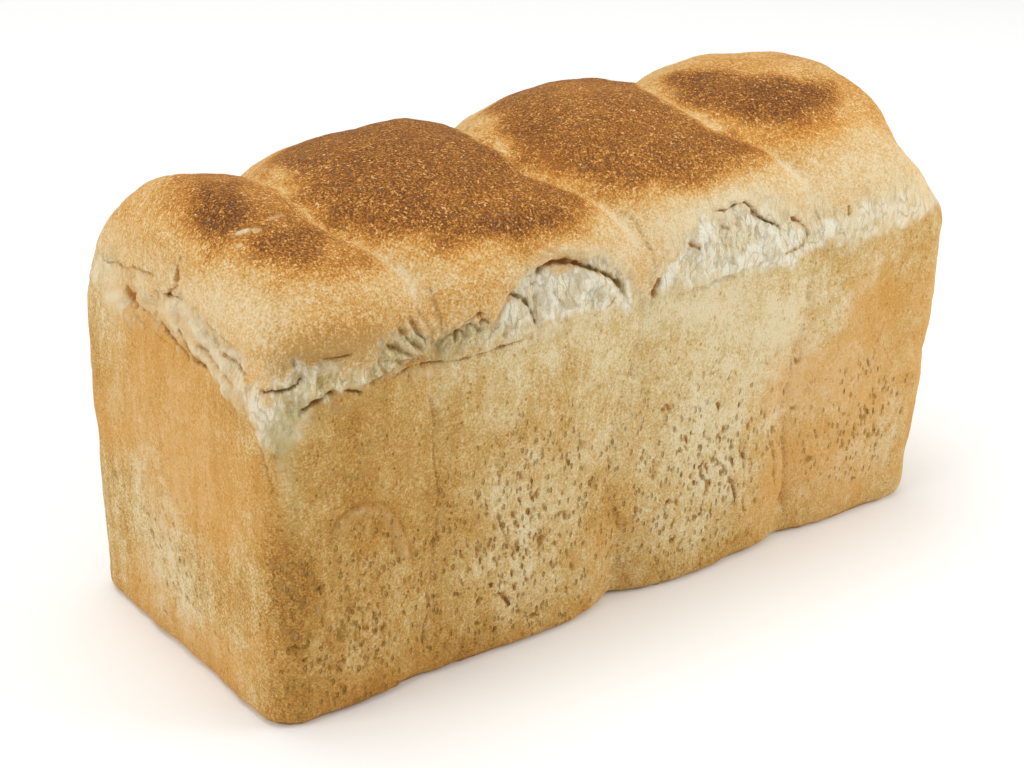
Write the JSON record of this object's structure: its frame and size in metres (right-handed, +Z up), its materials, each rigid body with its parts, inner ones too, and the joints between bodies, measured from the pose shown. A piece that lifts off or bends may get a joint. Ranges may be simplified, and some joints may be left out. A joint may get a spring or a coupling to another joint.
{
  "type": "tin loaf",
  "caption": "Whole uncut loaf of golden bread with straight tin-baked sides, a browned top in pillowy pieces and pale torn dough above the rim line.",
  "frame": {"origin": "centre of the loaf's bounding box in plan, at the level of its flat base", "axes": "+X along the loaf, +Y across it away from the front wall, +Z up"},
  "size_m": [0.2434, 0.1058, 0.1363],
  "materials": {
    "crust": "matt baked crust, golden on the walls, brown on the top and pale where it tore"
  },
  "bodies": {
    "root": {"loaf": "crust"}
  },
  "joints": []
}
